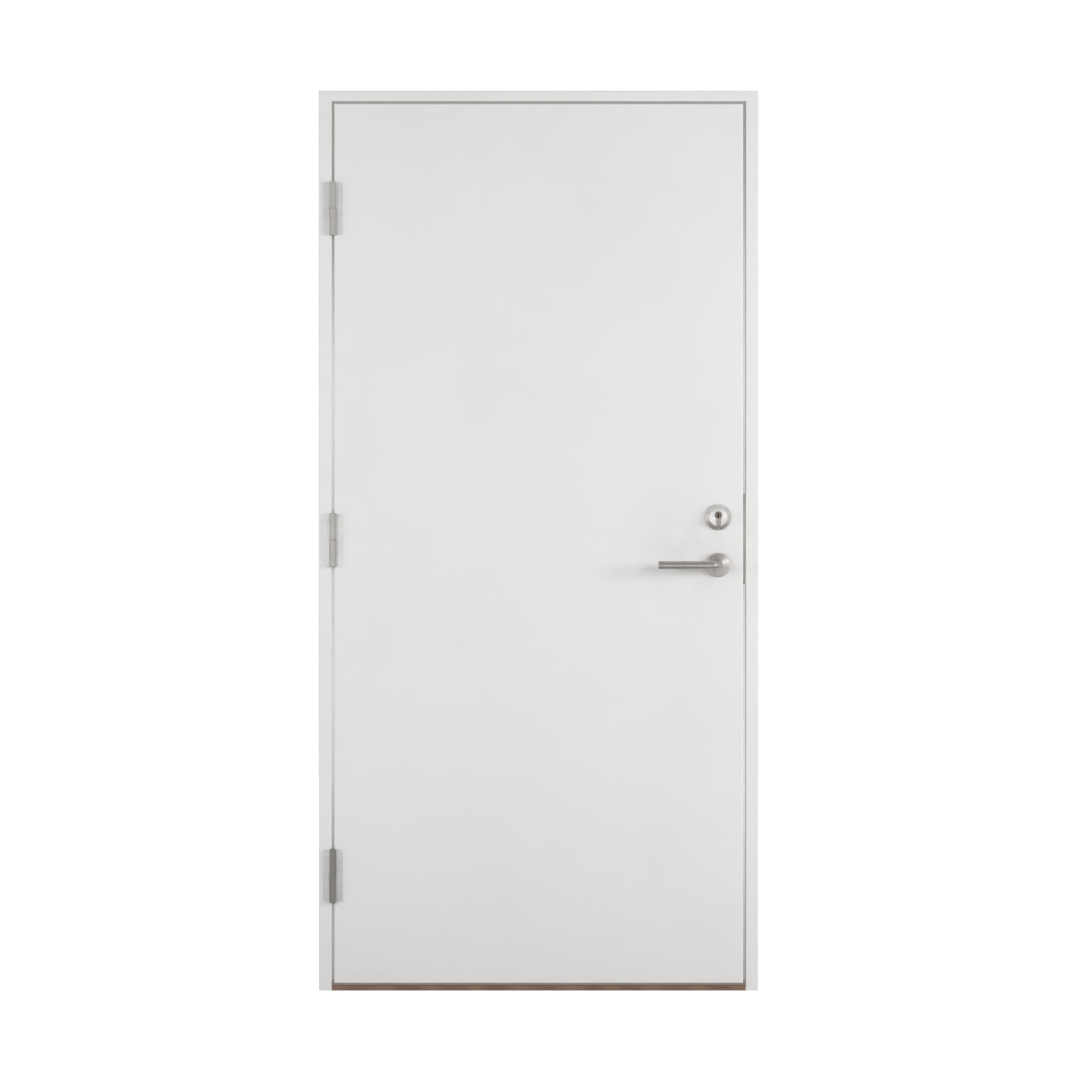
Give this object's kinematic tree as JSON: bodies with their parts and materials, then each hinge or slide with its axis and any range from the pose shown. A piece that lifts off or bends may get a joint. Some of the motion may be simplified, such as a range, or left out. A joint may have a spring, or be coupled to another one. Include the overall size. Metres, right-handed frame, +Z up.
{
  "type": "acoustic door",
  "caption": "White flush acoustic door set: thick single leaf on lift-off hinges in a rebated frame with bulb seals, dark threshold, lever handles and a profile cylinder in round rings.",
  "frame": {"origin": "on the outer face of the hinge-side jamb, at floor level, half way through the frame's depth", "axes": "+X along the wall from the hinge jamb towards the lock jamb, +Y through the wall away from the pull side that the leaf opens towards, +Z up"},
  "size_m": [0.99, 0.1836, 2.025],
  "materials": {
    "painted_wood": "white satin paint",
    "leaf_core": "pressed board",
    "hardwood": "dark oiled hardwood",
    "seal_rubber": "soft grey",
    "hinge_steel": "satin zinc",
    "lock_steel": "satin nickel",
    "lever_steel": "brushed",
    "ring_steel": "satin",
    "cylinder_brass": "nickelled"
  },
  "bodies": {
    "frame": {"hinge_jamb": "painted_wood", "lock_jamb": "painted_wood", "head": "painted_wood", "threshold": "hardwood", "hinge_side_seal": "seal_rubber", "lock_side_seal": "seal_rubber", "head_seal": "seal_rubber", "threshold_seal": "seal_rubber", "strike_plate": "lock_steel", "hinge_jamb_sleeves": "lock_steel", "lock_jamb_sleeves": "lock_steel", "frame_hinge_bottom": "hinge_steel", "frame_hinge_middle": "hinge_steel", "frame_hinge_top": "hinge_steel", "hinge_pin_bottom": "hinge_steel", "hinge_pin_middle": "hinge_steel", "hinge_pin_top": "hinge_steel"},
    "leaf": {"leaf_core": "leaf_core", "front_skin": "painted_wood", "back_skin": "painted_wood", "hinge_edge_lipping": "painted_wood", "lock_edge_lipping": "painted_wood", "top_lipping": "painted_wood", "bottom_lipping": "painted_wood", "leaf_hinge_bottom": "hinge_steel", "leaf_hinge_middle": "hinge_steel", "leaf_hinge_top": "hinge_steel", "lock_case": "lock_steel", "latch_bolt": "lock_steel", "deadbolt": "lock_steel", "lock_cylinder": "cylinder_brass", "front_rose": "lever_steel", "back_rose": "lever_steel", "front_cylinder_ring": "ring_steel", "back_cylinder_ring": "ring_steel"},
    "lever_handles": {"front_lever": "lever_steel", "back_lever": "lever_steel", "lever_spindle": "lever_steel"},
    "plug": {"key_plug": "cylinder_brass"}
  },
  "joints": [
    {"name": "leaf_swing", "type": "hinge", "parent": "frame", "child": "leaf", "pos_m": [0.032, -0.0598, 0], "axis": [0, 0, -1], "range_deg": [0, 170]},
    {"name": "lever_turn", "type": "hinge", "parent": "leaf", "child": "lever_handles", "pos_m": [0.8985, -0.0215, 0.958], "axis": [0, -1, 0], "range_deg": [0, 45], "stiffness_Nm_per_rad": 1.5, "springref_deg": -28.65},
    {"name": "key_plug_turn", "type": "hinge", "parent": "leaf", "child": "plug", "pos_m": [0.8985, -0.0465, 1.0695], "axis": [0, 1, 0], "range_deg": [-90, 90]}
  ]
}
